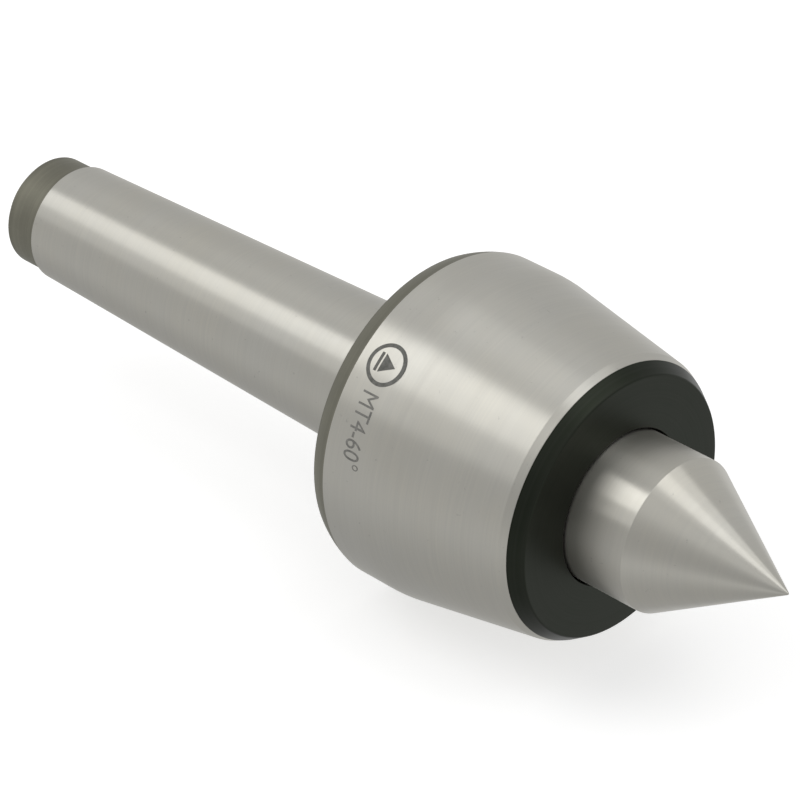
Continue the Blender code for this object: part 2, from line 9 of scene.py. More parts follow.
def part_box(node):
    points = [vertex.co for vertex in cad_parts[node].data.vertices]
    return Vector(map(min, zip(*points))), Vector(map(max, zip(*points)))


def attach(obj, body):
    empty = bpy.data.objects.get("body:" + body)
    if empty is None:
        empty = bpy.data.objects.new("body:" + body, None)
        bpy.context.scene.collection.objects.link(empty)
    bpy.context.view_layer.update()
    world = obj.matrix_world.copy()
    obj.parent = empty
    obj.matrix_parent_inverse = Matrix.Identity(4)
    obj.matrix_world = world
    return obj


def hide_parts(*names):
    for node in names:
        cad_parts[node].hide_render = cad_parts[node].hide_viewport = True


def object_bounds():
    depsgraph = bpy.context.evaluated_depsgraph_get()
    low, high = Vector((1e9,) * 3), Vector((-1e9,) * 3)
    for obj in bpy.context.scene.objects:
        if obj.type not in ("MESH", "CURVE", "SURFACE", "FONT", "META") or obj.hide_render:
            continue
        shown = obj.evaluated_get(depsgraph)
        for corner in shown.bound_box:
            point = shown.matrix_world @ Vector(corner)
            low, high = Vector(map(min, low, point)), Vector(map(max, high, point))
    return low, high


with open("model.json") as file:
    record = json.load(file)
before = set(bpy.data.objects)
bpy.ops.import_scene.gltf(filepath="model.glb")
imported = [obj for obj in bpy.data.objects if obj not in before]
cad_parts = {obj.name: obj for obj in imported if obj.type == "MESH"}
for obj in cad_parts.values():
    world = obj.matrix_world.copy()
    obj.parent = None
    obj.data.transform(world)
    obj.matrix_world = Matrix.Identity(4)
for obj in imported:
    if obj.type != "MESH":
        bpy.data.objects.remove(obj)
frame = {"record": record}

cad_box = [list(corner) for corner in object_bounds()]
body_of = {
    node: body
    for body, members in frame["record"]["behaviour"]["bodies"].items()
    for node in members
}

MM = 0.001
FINE_STEPS = 192  # facets round the pieces that show
INNER_STEPS = 96  # facets round the pieces inside and round the etched ring
SEAM = 0.02 * MM  # hairline between pieces that are pressed together
ON_AXIS = 0.0001 * MM  # an outline's point with less radius than this lies on the axis
POINT_HALF_ANGLE = math.radians(30)

# Edge roundings that several pieces share, from the tightest to the widest.
HAIR_EDGE = 0.04 * MM
SHARP_EDGE = 0.1 * MM
FINE_EDGE = 0.2 * MM
BROKEN_EDGE = 0.25 * MM
SMALL_EDGE = 0.3 * MM
SOFT_EDGE = 0.4 * MM
ROUND_EDGE = 0.5 * MM


# ---------------------------------------------------------------- geometry helpers

def rounded(corners, closed=True, facets=3):
    """An outline of (radius, along) points from (radius, along, fillet radius) corners."""
    outline = []
    count = len(corners)
    for index, corner in enumerate(corners):
        fillet = corner[2] if len(corner) > 2 else 0
        here = Vector(corner[:2])
        if not fillet or (not closed and index in (0, count - 1)):
            outline.append(tuple(here))
            continue
        before = (Vector(corners[index - 1][:2]) - here).normalized()
        after = (Vector(corners[(index + 1) % count][:2]) - here).normalized()
        half = before.angle(after) / 2
        reach = fillet / math.tan(half)
        center = here + (before + after).normalized() * fillet / math.sin(half)
        first = here + before * reach - center
        last = here + after * reach - center
        turn = first.angle_signed(last)
        for facet in range(facets + 1):
            angle = -turn * facet / facets
            spoke = Matrix.Rotation(angle, 2) @ first
            outline.append(tuple(center + spoke))
    return outline


def arc(center, radius, start, end, count):
    """Points on an arc; angles turn from outwards towards the point."""
    points = []
    for step in range(count):
        angle = start + (end - start) * step / (count - 1)
        points.append((center[0] + radius * math.cos(angle), center[1] + radius * math.sin(angle)))
    return points


def finish_mesh(name, shape, materials, smooth_angle=32):
    """Turn a bmesh into a shaded object whose large faces keep true normals."""
    bmesh.ops.recalc_face_normals(shape, faces=shape.faces)
    mesh = bpy.data.meshes.new(name)
    shape.to_mesh(mesh)
    shape.free()
    mesh.shade_smooth()
    mesh.set_sharp_from_angle(angle=math.radians(smooth_angle))
    for material in materials:
        mesh.materials.append(material)
    piece = bpy.data.objects.new(name, mesh)
    bpy.context.scene.collection.objects.link(piece)
    return piece


def weigh_normals(piece):
    """Flat and conical faces keep straight shading up to their rounded edges."""
    modifier = piece.modifiers.new("Weighted normals", 'WEIGHTED_NORMAL')
    modifier.mode = 'FACE_AREA'
    modifier.keep_sharp = True


def turned(name, outline, steps, materials, closed=True, material_at=None):
    """Turn an outline about the X axis. material_at(radius, along) picks a face's material."""
    shape = bmesh.new()
    rings = []
    for radius, along in outline:
        if radius < ON_AXIS:
            rings.append([shape.verts.new((along, 0, 0))])
            continue
        ring = []
        for step in range(steps):
            angle = math.tau * step / steps
            ring.append(shape.verts.new((along, radius * math.cos(angle), radius * math.sin(angle))))
        rings.append(ring)
    pairs = list(zip(range(len(rings) - 1), range(1, len(rings))))
    if closed:
        pairs.append((len(rings) - 1, 0))
    for first, second in pairs:
        near, far = rings[first], rings[second]
        middle = [(outline[first][axis] + outline[second][axis]) / 2 for axis in (0, 1)]
        slot = material_at(*middle) if material_at else 0
        for step in range(steps):
            following = (step + 1) % steps
            corners = [near[step % len(near)], near[following % len(near)]]
            corners += [far[following % len(far)], far[step % len(far)]]
            unique = list(dict.fromkeys(corners))
            shape.faces.new(unique).material_index = slot
    piece = finish_mesh(name, shape, materials)
    weigh_normals(piece)
    return piece


def place(piece, node):
    """The piece stands for a CAD node and moves with the node's body."""
    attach(piece, body_of[node])
    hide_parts(node)


def span(node):
    """Rear end, front end and outer radius of a node that is turned about the X axis."""
    low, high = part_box(node)
    return low.x, high.x, (high.y - low.y) / 2


# ---------------------------------------------------------------- materials

def node_material(name, color, roughness, metallic):
    """A Principled material and its shader, ready for textures."""
    material = bpy.data.materials.new(name)
    material.use_nodes = True
    shader = material.node_tree.nodes["Principled BSDF"]
    shader.inputs["Base Color"].default_value = (*color, 1)
    shader.inputs["Roughness"].default_value = roughness
    shader.inputs["Metallic"].default_value = metallic
    return material, shader


EVEN = (1.0, 1.0, 1.0)
AROUND = (1.0, 0.02, 0.02)  # stretch that draws noise out into rings round the X axis
NOISE_ROUGHNESS = 0.6
RING_DETAIL = 3.0
NOISE_MIDDLE = 0.3, 0.7  # the stretch that most of a noise's values fall in


def noise(material, stretch, scale, detail):
    """Noise over object space, stretched by a factor on each axis. Returns its Fac output."""
    nodes, links = material.node_tree.nodes, material.node_tree.links
    place_node = nodes.new("ShaderNodeTexCoord")
    mapping = nodes.new("ShaderNodeMapping")
    mapping.inputs["Scale"].default_value = stretch
    texture = nodes.new("ShaderNodeTexNoise")
    texture.inputs["Scale"].default_value = scale
    texture.inputs["Detail"].default_value = detail
    texture.inputs["Roughness"].default_value = NOISE_ROUGHNESS
    links.new(place_node.outputs["Object"], mapping.inputs["Vector"])
    links.new(mapping.outputs["Vector"], texture.inputs["Vector"])
    return texture.outputs["Fac"]


def turning_rings(material, scale):
    """Noise that only changes along the axis and outwards: rings on faces, cones and cylinders."""
    nodes, links = material.node_tree.nodes, material.node_tree.links
    place_node = nodes.new("ShaderNodeTexCoord")
    split = nodes.new("ShaderNodeSeparateXYZ")
    across = nodes.new("ShaderNodeCombineXYZ")
    radius = nodes.new("ShaderNodeVectorMath")
    radius.operation = 'LENGTH'
    section = nodes.new("ShaderNodeCombineXYZ")
    texture = nodes.new("ShaderNodeTexNoise")
    texture.inputs["Scale"].default_value = scale
    texture.inputs["Detail"].default_value = RING_DETAIL
    links.new(place_node.outputs["Object"], split.inputs["Vector"])
    links.new(split.outputs["Y"], across.inputs["Y"])
    links.new(split.outputs["Z"], across.inputs["Z"])
    links.new(across.outputs["Vector"], radius.inputs[0])
    links.new(split.outputs["X"], section.inputs["X"])
    links.new(radius.outputs["Value"], section.inputs["Y"])
    links.new(section.outputs["Vector"], texture.inputs["Vector"])
    return texture.outputs["Fac"]


def spread(material, value, low, high, stretch=NOISE_MIDDLE):
    """Map a value so that a stretch of it, such as the middle of a noise, runs from low to high."""
    ranged = material.node_tree.nodes.new("ShaderNodeMapRange")
    ranged.inputs["From Min"].default_value = stretch[0]
    ranged.inputs["From Max"].default_value = stretch[1]
    ranged.inputs["To Min"].default_value = low
    ranged.inputs["To Max"].default_value = high
    material.node_tree.links.new(value, ranged.inputs["Value"])
    return ranged.outputs["Result"]


def scaled(color, factor):
    """A colour made darker or lighter."""
    return tuple(channel * factor for channel in color)


def blend_colors(material, factor, first, second):
    """Mix two colours, or colour outputs, by a factor output."""
    links = material.node_tree.links
    mix = material.node_tree.nodes.new("ShaderNodeMix")
    mix.data_type = 'RGBA'
    links.new(factor, mix.inputs["Factor"])
    for socket, color in ((mix.inputs["A"], first), (mix.inputs["B"], second)):
        if isinstance(color, tuple):
            socket.default_value = (*color, 1)
        else:
            links.new(color, socket)
    return mix.outputs["Result"]


def bump(material, shader, height, distance, strength):
    """Add a height output to the shader's bump, on top of any bump it has."""
    nodes, links = material.node_tree.nodes, material.node_tree.links
    node = nodes.new("ShaderNodeBump")
    node.inputs["Strength"].default_value = strength
    node.inputs["Distance"].default_value = distance
    links.new(height, node.inputs["Height"])
    if shader.inputs["Normal"].links:
        links.new(shader.inputs["Normal"].links[0].from_socket, node.inputs["Normal"])
    links.new(node.outputs["Normal"], shader.inputs["Normal"])


GRIND_SPREAD = 0.88  # how far the grinding spreads a highlight along the axis
GRIND_TURN = 0.25  # of a turn, from round the axis to along it
SPECKS = 0.70, 0.78  # only the highest noise makes specks


def ground_steel(name, color=(0.600, 0.590, 0.545), roughness=0.36, marks=1.0):
    """Cylindrically ground steel: fine rings, a few deeper ones, soft stains and dark specks."""
    material, shader = node_material(name, color, roughness, 1.0)
    links = material.node_tree.links
    shader.inputs["Anisotropic"].default_value = GRIND_SPREAD
    shader.inputs["Anisotropic Rotation"].default_value = GRIND_TURN
    tangent = material.node_tree.nodes.new("ShaderNodeTangent")
    tangent.direction_type = 'RADIAL'
    tangent.axis = 'X'
    links.new(tangent.outputs["Tangent"], shader.inputs["Tangent"])
    rings = noise(material, AROUND, 2600.0, 3.0)
    deep_rings = noise(material, AROUND, 700.0, 2.0)
    stains = noise(material, EVEN, 45.0, 3.0)
    specks = noise(material, EVEN, 900.0, 2.0)
    darker = scaled(color, 0.90)
    warmer = (color[0] * 1.01, color[1] * 0.995, color[2] * 0.96)
    tinted = blend_colors(material, spread(material, stains, 0.0, 1.0), color, warmer)
    lined = blend_colors(material, spread(material, rings, 0.0, 0.5 * marks), tinted, darker)
    speckled = spread(material, specks, 0.0, 0.35, SPECKS)
    links.new(
        blend_colors(material, speckled, lined, scaled(color, 0.5)), shader.inputs["Base Color"])
    links.new(
        spread(material, deep_rings, roughness - 0.012, roughness + 0.015), shader.inputs["Roughness"])
    bump(material, shader, rings, 0.004 * MM * marks, 0.5)
    bump(material, shader, deep_rings, 0.004 * MM * marks, 0.3)
    return material


def dark_steel(name, color, roughness):
    """Hardened steel as turned, with a thin oily oxide: turning rings and cloudy tone."""
    material, shader = node_material(name, color, roughness, 0.85)
    links = material.node_tree.links
    rings = turning_rings(material, 1600.0)
    clouds = noise(material, EVEN, 140.0, 4.0)
    lighter = scaled(color, 1.25)
    darker = scaled(color, 0.82)
    clouded = blend_colors(material, spread(material, clouds, 0.0, 1.0), color, lighter)
    links.new(
        blend_colors(material, spread(material, rings, 0.0, 0.6), clouded, darker),
        shader.inputs["Base Color"])
    links.new(spread(material, clouds, roughness - 0.05, roughness + 0.05), shader.inputs["Roughness"])
    bump(material, shader, rings, 0.02 * MM, 0.6)
    bump(material, shader, clouds, 0.02 * MM, 0.3)
    return material


def black_oxide(name):
    """Blackened steel: faced in fine rings, with an oily, slightly green sheen."""
    base = (0.023, 0.028, 0.020)
    material, shader = node_material(name, base, 0.38, 1.0)
    links = material.node_tree.links
    facing = turning_rings(material, 2200.0)
    clouds = noise(material, EVEN, 70.0, 4.0)
    worn = blend_colors(material, spread(material, clouds, 0.0, 1.0), base, (0.031, 0.035, 0.027))
    links.new(
        blend_colors(material, spread(material, facing, 0.0, 0.5), worn, (0.036, 0.039, 0.032)),
        shader.inputs["Base Color"])
    links.new(spread(material, clouds, 0.34, 0.42), shader.inputs["Roughness"])
    bump(material, shader, facing, 0.008 * MM, 0.5)
    return material


def plain_metal(name, color, roughness, grain=600.0, metallic=1.0):
    """Bearing parts: clean metal with fine grain and slight tone changes."""
    material, shader = node_material(name, color, roughness, metallic)
    links = material.node_tree.links
    fine = noise(material, EVEN, grain, 4.0)
    darker = scaled(color, 0.85)
    links.new(
        blend_colors(material, spread(material, fine, 0.0, 0.6), color, darker),
        shader.inputs["Base Color"])
    links.new(
        spread(material, fine, max(0.02, roughness - 0.04), roughness + 0.05), shader.inputs["Roughness"])
    bump(material, shader, fine, 0.003 * MM, 0.4)
    return material


def etched_steel(name, dark, light):
    """A shallow etched mark: dark, matt and slightly patchy."""
    material, shader = node_material(name, dark, 0.6, 0.6)
    links = material.node_tree.links
    patches = noise(material, EVEN, 900.0, 3.0)
    links.new(
        blend_colors(material, spread(material, patches, 0.0, 1.0), dark, light),
        shader.inputs["Base Color"])
    links.new(spread(material, patches, 0.52, 0.68), shader.inputs["Roughness"])
    bump(material, shader, patches, 0.01 * MM, 0.5)
    return material


housing_ground = ground_steel("housing_ground_steel")
spindle_ground = ground_steel("spindle_ground_steel", roughness=0.31, marks=0.8)
unground = dark_steel("unground_steel", (0.20, 0.195, 0.155), 0.5)
cavity_steel = dark_steel("bored_steel", (0.34, 0.33, 0.30), 0.4)
cover_black = black_oxide("black_oxide")
race_steel = plain_metal("race_steel", (0.62, 0.62, 0.61), 0.16)
ball_steel = plain_metal("ball_steel", (0.70, 0.70, 0.70), 0.06, grain=200.0)
cage_brass = plain_metal("cage_brass", (0.66, 0.46, 0.19), 0.3)
cage_steel = plain_metal("cage_steel", (0.46, 0.45, 0.42), 0.35)
spring_steel = plain_metal("spring_steel", (0.17, 0.17, 0.18), 0.32)
etched_deep = etched_steel("etched_steel_deep", (0.10, 0.10, 0.09), (0.20, 0.20, 0.185))
etched_light = etched_steel("etched_steel_light", (0.14, 0.14, 0.13), (0.28, 0.275, 0.255))
nitrile = plain_metal("nitrile", (0.018, 0.018, 0.019), 0.55, grain=900.0, metallic=0.0)


# ---------------------------------------------------------------- housing with its shank

GAUGE_RADIUS = 31.267 / 2 * MM
TAPER_RISE = 1 / 19.254 / 2
TAPER_FRONT = 4.1 * MM
TAPER_REAR = -101.2 * MM
TAPER_RELIEF = 0.4 * MM  # depth and width of the groove in front of the taper
STUB_RADIUS = 12.25 * MM
STUB_CHAMFER = 1.5 * MM
CENTER_RADIUS = 3.2 * MM  # the center hole in the shank's end
PILOT_RADIUS = 1.25 * MM
PILOT_START = 3.38 * MM  # these three are depths from the shank's end
PILOT_END = 8.0 * MM
PILOT_TIP = 8.7 * MM
REAR_FACE = 6.5 * MM
BAND_ROUND = 16.0 * MM  # the dark rear band is an arc of this radius
BAND_TURNS = math.radians(14), math.radians(31)  # its slopes to the barrel and the rear face
BAND_FRONT = 10.75 * MM  # the ground barrel starts here
CONE_START = 21.6 * MM
CONE_RISE = 0.165
SHOULDER_ROUND = 30.0 * MM
GROUND_EDGE_START = 52.4 * MM
GROUND_EDGE_ROUND = 0.8 * MM
FRONT_RADIUS = 29.15 * MM
THREAD_RADIUS = 27.0 * MM
THREAD_REAR = 46.0 * MM
DRILL_RADIUS = 8.5 * MM
DRILL_DEPTH = 4.5 * MM  # behind the needle bearing
DRILL_HALF_ANGLE = math.radians(59)
BORED_DEPTH = 12.0 * MM  # behind the needle bearing, and past the drill's tip
RACE_RELIEF = 1.0 * MM  # behind the front bearing
CLIP_PLAY = 0.1 * MM  # at both sides of the inner snap ring
CLIP_GROOVE = 0.2 * MM  # outside the inner snap ring
SHANK_MARGIN = 0.3 * MM  # steel this far outside the taper is behind the barrel, and unground

stub_end, housing_front, housing_radius = span("housing_body")
cover_rear, cover_front, _ = span("front_cover")
race_rear, race_front, race_radius = span("front_bearing_outer_ring")
thrust_rear, _, thrust_radius = span("thrust_bearing_housing_washer")
needle_rear, needle_front, needle_radius = span("needle_bearing_outer_ring")
clip_rear, clip_front, clip_radius = span("needle_retaining_ring")


def taper_radius(along):
    """The Morse taper's radius, from its gauge plane at the origin."""
    return GAUGE_RADIUS + TAPER_RISE * along


def cone_radius(along):
    """Radius of the housing's cone in front of the barrel."""
    return housing_radius - CONE_RISE * (along - CONE_START)


def cavity_outline():
    """The housing's inside, from the drill's tip to the mouth."""
    needle_bore = needle_radius + SEAM
    thrust_bore = thrust_radius + SEAM
    race_bore = race_radius + SEAM
    groove = clip_radius + CLIP_GROOVE
    drill_end = needle_rear - DRILL_DEPTH
    bearing_floor = race_rear - RACE_RELIEF
    return [
        (0.0, drill_end - DRILL_RADIUS / math.tan(DRILL_HALF_ANGLE)),
        (DRILL_RADIUS, drill_end),
        (DRILL_RADIUS, needle_rear - SEAM),
        (needle_bore, needle_rear - SEAM),
        (needle_bore, clip_rear - CLIP_PLAY),
        (groove, clip_rear - CLIP_PLAY),
        (groove, clip_front + CLIP_PLAY),
        (needle_bore, clip_front + CLIP_PLAY),
        (needle_bore, thrust_rear - SEAM, SOFT_EDGE),
        (thrust_bore, thrust_rear - SEAM),
        (thrust_bore, bearing_floor, SOFT_EDGE),
        (race_bore, bearing_floor),
        (race_bore, THREAD_REAR),
        (THREAD_RADIUS, THREAD_REAR),
        (THREAD_RADIUS, housing_front, SOFT_EDGE),
    ]


def housing_outline():
    """The cavity, then the outside from the front edge back to the center hole."""
    band_start, band_end = BAND_TURNS
    band_center = (
        housing_radius - BAND_ROUND * math.cos(band_start),
        REAR_FACE + BAND_ROUND * math.sin(band_end))
    band = arc(band_center, BAND_ROUND, -band_start, -band_end, 8)
    relief = taper_radius(TAPER_FRONT) - TAPER_RELIEF
    outside = [
        (FRONT_RADIUS, housing_front, HAIR_EDGE),
        (cone_radius(GROUND_EDGE_START), GROUND_EDGE_START, GROUND_EDGE_ROUND),
        (housing_radius, CONE_START, SHOULDER_ROUND),
        (*band[0], ROUND_EDGE),
        *band[1:-1],
        (*band[-1], BROKEN_EDGE),
        (relief, REAR_FACE, SOFT_EDGE),
        (relief, TAPER_FRONT + TAPER_RELIEF, FINE_EDGE),
        (taper_radius(TAPER_FRONT), TAPER_FRONT),
        (taper_radius(TAPER_REAR), TAPER_REAR, BROKEN_EDGE),
        (STUB_RADIUS, TAPER_REAR, FINE_EDGE),
        (STUB_RADIUS, stub_end + STUB_CHAMFER, SOFT_EDGE),
        (STUB_RADIUS - STUB_CHAMFER, stub_end, BROKEN_EDGE),
        (CENTER_RADIUS, stub_end, SHARP_EDGE),
        (PILOT_RADIUS, stub_end + PILOT_START),
        (PILOT_RADIUS, stub_end + PILOT_END),
        (0.0, stub_end + PILOT_TIP),
    ]
    return rounded(cavity_outline() + outside, closed=False, facets=6)


# Radii between the cavity and the outside, each with the point on the axis it is true from.
INNER_WALLS = (
    (race_rear - 2.0 * MM, 27.6 * MM),
    (REAR_FACE + 1.0 * MM, 21.5 * MM),
    (needle_rear - BORED_DEPTH, 12.8 * MM),
)


def is_bored(radius, along):
    """True on the cavity's own faces."""
    for wall_start, wall_radius in INNER_WALLS:
        if along > wall_start:
            return radius < wall_radius
    return False


def housing_material(radius, along):
    """0 ground, 1 left as hardened, 2 bored. Only the shank, barrel and cone are ground."""
    if is_bored(radius, along):
        return 2
    if along < TAPER_REAR or (along < BAND_FRONT and radius > taper_radius(along) + SHANK_MARGIN):
        return 1
    return 0


place(
    turned(
        "housing_with_taper_shank", housing_outline(), FINE_STEPS,
        [housing_ground, unground, cavity_steel], closed=False, material_at=housing_material),
    "housing_body")


# ---------------------------------------------------------------- etched mark on the barrel

ETCH_SINK = 0.05 * MM  # how far a mark reaches into the barrel
ETCH_PROUD = 0.012 * MM  # and how far it stands above it
ETCH_SLICE = 0.4 * MM  # width of the slices that let a mark bend
WELD = 0.001 * MM  # corners this close are one
CUT_TOLERANCE = 0.00001 * MM
MARK_ALONG = 17.4 * MM
MARK_TURN = math.radians(46.5)
MARK_RING = 4.5 * MM
MARK_LINE = 0.85 * MM
MARK_TIP = 2.3 * MM
MARK_BASE = -1.2 * MM
MARK_BAR = -2.3 * MM, -1.6 * MM
TEXT_ALONG = 17.2 * MM
TEXT_TURN = math.radians(23.8)
TEXT_LENGTH = 15.6 * MM
TEXT_STRETCH = 1.3  # the letters are taller than the font's own


def flat_mark(shape):
    """A ring round a 60 degree point, centered on the origin and pointing along +Y."""
    loops = []
    for radius in (MARK_RING, MARK_RING - MARK_LINE):
        loop = []
        for step in range(INNER_STEPS):
            angle = math.tau * step / INNER_STEPS
            loop.append(shape.verts.new((radius * math.cos(angle), radius * math.sin(angle), 0)))
        loops.append(loop)
    outer, inner = loops
    for step in range(INNER_STEPS):
        following = (step + 1) % INNER_STEPS
        shape.faces.new((outer[step], outer[following], inner[following], inner[step]))
    half = (MARK_TIP - MARK_BASE) * math.tan(POINT_HALF_ANGLE)
    point = [(-half, MARK_BASE), (half, MARK_BASE), (0, MARK_TIP)]
    low, high = MARK_BAR
    bar = [(-half, low), (half, low), (half, high), (-half, high)]
    for outline in (point, bar):
        shape.faces.new([shape.verts.new((*corner, 0)) for corner in outline])


def flat_text(shape, body, length):
    """Generic text, centered on the origin and as long as given along X."""
    curve = bpy.data.curves.new("mark_text", 'FONT')
    curve.body = body
    curve.align_x = 'CENTER'
    curve.align_y = 'CENTER'
    curve.resolution_u = 6
    holder = bpy.data.objects.new("mark_text", curve)
    bpy.context.scene.collection.objects.link(holder)
    bpy.context.view_layer.update()
    mesh = bpy.data.meshes.new_from_object(holder.evaluated_get(bpy.context.evaluated_depsgraph_get()))
    bpy.data.objects.remove(holder)
    reach = max(vert.co.x for vert in mesh.vertices) - min(vert.co.x for vert in mesh.vertices)
    size = length / reach
    mesh.transform(Matrix.Diagonal((size, size * TEXT_STRETCH, size, 1.0)))
    shape.from_mesh(mesh)
    bpy.data.meshes.remove(mesh)


def wrap_round_barrel(shape, along, turn):
    """Slice a flat shape, give it thickness and bend it round the barrel.

    Its X runs down the near side of the barrel and its Y towards the point.
    """
    bmesh.ops.remove_doubles(shape, verts=shape.verts, dist=WELD)
    low = min(vert.co.x for vert in shape.verts)
    high = max(vert.co.x for vert in shape.verts)
    for cut in range(1, math.ceil((high - low) / ETCH_SLICE)):
        everything = list(shape.verts) + list(shape.edges) + list(shape.faces)
        bmesh.ops.bisect_plane(
            shape, geom=everything, dist=CUT_TOLERANCE, plane_no=(1, 0, 0),
            plane_co=(low + cut * ETCH_SLICE, 0, 0))
    bottom = list(shape.verts)
    raised = bmesh.ops.extrude_face_region(shape, geom=list(shape.faces), use_keep_orig=True)
    for vert in bottom:
        vert.co.z = -ETCH_SINK
    for item in raised["geom"]:
        if isinstance(item, bmesh.types.BMVert):
            item.co.z = ETCH_PROUD
    for vert in shape.verts:
        angle = turn - vert.co.x / housing_radius
        radius = housing_radius + vert.co.z
        vert.co = Vector((along + vert.co.y, -radius * math.cos(angle), radius * math.sin(angle)))


def add_etched(name, shape, along, turn, material):
    """Finish a flat shape as a mark on the housing."""
    wrap_round_barrel(shape, along, turn)
    piece = finish_mesh(name, shape, [material])
    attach(piece, "housing")


point_mark = bmesh.new()
flat_mark(point_mark)
add_etched("etched_point_mark", point_mark, MARK_ALONG, MARK_TURN, etched_deep)
size_mark = bmesh.new()
flat_text(size_mark, "MT4-60\u00b0", TEXT_LENGTH)
add_etched("etched_size_mark", size_mark, TEXT_ALONG, TEXT_TURN, etched_light)


# ---------------------------------------------------------------- front cover

COVER_BORE = 16.4 * MM
COVER_FACE = 27.3 * MM
POCKET_RADIUS = 21.0 * MM
POCKET_FRONT = 51.4 * MM


def cover_outline():
    """Flange with a sloping edge, threaded spigot, seal pocket and bore."""
    spigot = THREAD_RADIUS - SEAM
    seam = housing_front + SEAM
    return rounded([
        (COVER_BORE, cover_front, FINE_EDGE),
        (COVER_FACE, cover_front, ROUND_EDGE),
        (FRONT_RADIUS, seam, HAIR_EDGE),
        (spigot, seam),
        (spigot, cover_rear, SOFT_EDGE),
        (POCKET_RADIUS, cover_rear, SOFT_EDGE),
        (POCKET_RADIUS, POCKET_FRONT, FINE_EDGE),
        (COVER_BORE, POCKET_FRONT, FINE_EDGE),
    ], facets=5)


place(turned("screwed_front_cover", cover_outline(), FINE_STEPS, [cover_black]), "front_cover")


# ---------------------------------------------------------------- spindle

NOSE_FRONT = 71.0 * MM
TIP_RADIUS = 0.3 * MM
RACE_SEAT = 12.5 * MM
CLIP_SEAT = 11.9 * MM
CLIP_SEAT_WIDTH = 1.4 * MM
THRUST_SHOULDER = 25.6 * MM
THRUST_SEAT = 10.0 * MM
NEEDLE_SHOULDER = 8.5 * MM
NEEDLE_SEAT = 7.5 * MM
SHOULDER_FILLET = 1.0 * MM
REAR_CENTER = 1.8 * MM
REAR_CENTER_DEPTH = 3.1 * MM

spindle_end, _, nose_radius = span("spindle")


def spindle_outline():
    """From the tip of the point, down the outside, to the rear journal's end."""
    ball_center = (
        NOSE_FRONT + nose_radius / math.tan(POINT_HALF_ANGLE)
        - TIP_RADIUS / math.sin(POINT_HALF_ANGLE))
    tip = arc((0.0, ball_center), TIP_RADIUS, math.pi / 2, POINT_HALF_ANGLE, 5)
    clip_seat_rear = race_rear - CLIP_SEAT_WIDTH
    return [(0.0, tip[0][1])] + tip[1:] + rounded([
        tip[-1],
        (nose_radius, NOSE_FRONT, BROKEN_EDGE),
        (nose_radius, race_front, SOFT_EDGE),
        (RACE_SEAT, race_front, SMALL_EDGE),
        (RACE_SEAT, race_rear),
        (CLIP_SEAT, race_rear),
        (CLIP_SEAT, clip_seat_rear),
        (RACE_SEAT, clip_seat_rear),
        (RACE_SEAT, THRUST_SHOULDER, SMALL_EDGE),
        (THRUST_SEAT, THRUST_SHOULDER, SMALL_EDGE),
        (THRUST_SEAT, NEEDLE_SHOULDER, SHOULDER_FILLET),
        (NEEDLE_SEAT, NEEDLE_SHOULDER, ROUND_EDGE),
        (NEEDLE_SEAT, spindle_end, SOFT_EDGE),
        (REAR_CENTER, spindle_end, SHARP_EDGE),
        (0.0, spindle_end + REAR_CENTER_DEPTH),
    ], closed=False, facets=5)[1:]


place(
    turned("spindle_with_point", spindle_outline(), FINE_STEPS, [spindle_ground], closed=False),
    "spindle")


# ---------------------------------------------------------------- seal, spring, snap rings

SEAL_PRESS = 0.25 * MM  # the seal fills its pocket
SEAL_CASE = 1.1 * MM
SEAL_WEB = 1.3 * MM

# The lip, by distances out from the nose and forward from the seal's rear.
LIP_ROOT = 0.6 * MM
LIP_CROWN = 1.5 * MM
LIP_BACK = 1.9 * MM
LIP_REAR = 0.5 * MM
LIP_CONTACT = 1.2 * MM
LIP_EDGE = 0.15 * MM
LIP_POINT = 0.08 * MM  # rounding of the edge that runs on the nose


def seal_outline():
    """Radial shaft seal: case leg, web and a lip that points into the housing."""
    rear, front, outer = span("shaft_seal")
    lip = nose_radius + SEAM
    web = front - SEAL_WEB
    return rounded([
        (outer + SEAL_PRESS, front, SMALL_EDGE),
        (outer + SEAL_PRESS, rear, SMALL_EDGE),
        (outer - SEAL_CASE, rear, SMALL_EDGE),
        (outer - SEAL_CASE, web, SOFT_EDGE),
        (lip + LIP_BACK, web, ROUND_EDGE),
        (lip + LIP_CROWN, rear + LIP_REAR, LIP_EDGE),
        (lip + LIP_ROOT, rear + LIP_REAR, LIP_EDGE),
        (lip, rear + LIP_CONTACT, LIP_POINT),
        (lip + LIP_ROOT, web, SMALL_EDGE),
        (lip + LIP_ROOT, front, FINE_EDGE),
    ], facets=4)


place(turned("radial_shaft_seal", seal_outline(), INNER_STEPS, [nitrile]), "shaft_seal")

STRIP_WIDTH = 3.1 * MM
STRIP_HALF = 0.25 * MM  # half the strip's thickness
SPRING_WAVES = 4


def wave_spring():
    """A ring of thin strip that waves between the cover and the bearing."""
    rear, front, outer = span("wave_spring")
    middle = (rear + front) / 2
    height = (front - rear) / 2 - STRIP_HALF
    inner = outer - STRIP_WIDTH
    section = rounded([
        (outer, STRIP_HALF, SHARP_EDGE),
        (outer, -STRIP_HALF, SHARP_EDGE),
        (inner, -STRIP_HALF, SHARP_EDGE),
        (inner, STRIP_HALF, SHARP_EDGE),
    ], facets=2)
    shape = bmesh.new()
    rings = []
    for step in range(FINE_STEPS):
        angle = math.tau * step / FINE_STEPS
        wave = middle + height * math.cos(SPRING_WAVES * angle)
        ring = []
        for radius, side in section:
            position = (wave + side, radius * math.sin(angle), -radius * math.cos(angle))
            ring.append(shape.verts.new(position))
        rings.append(ring)
    for step in range(FINE_STEPS):
        here, there = rings[step], rings[(step + 1) % FINE_STEPS]
        for corner in range(len(section)):
            following = (corner + 1) % len(section)
            shape.faces.new((here[corner], there[corner], there[following], here[following]))
    return finish_mesh("preload_wave_spring", shape, [spring_steel])


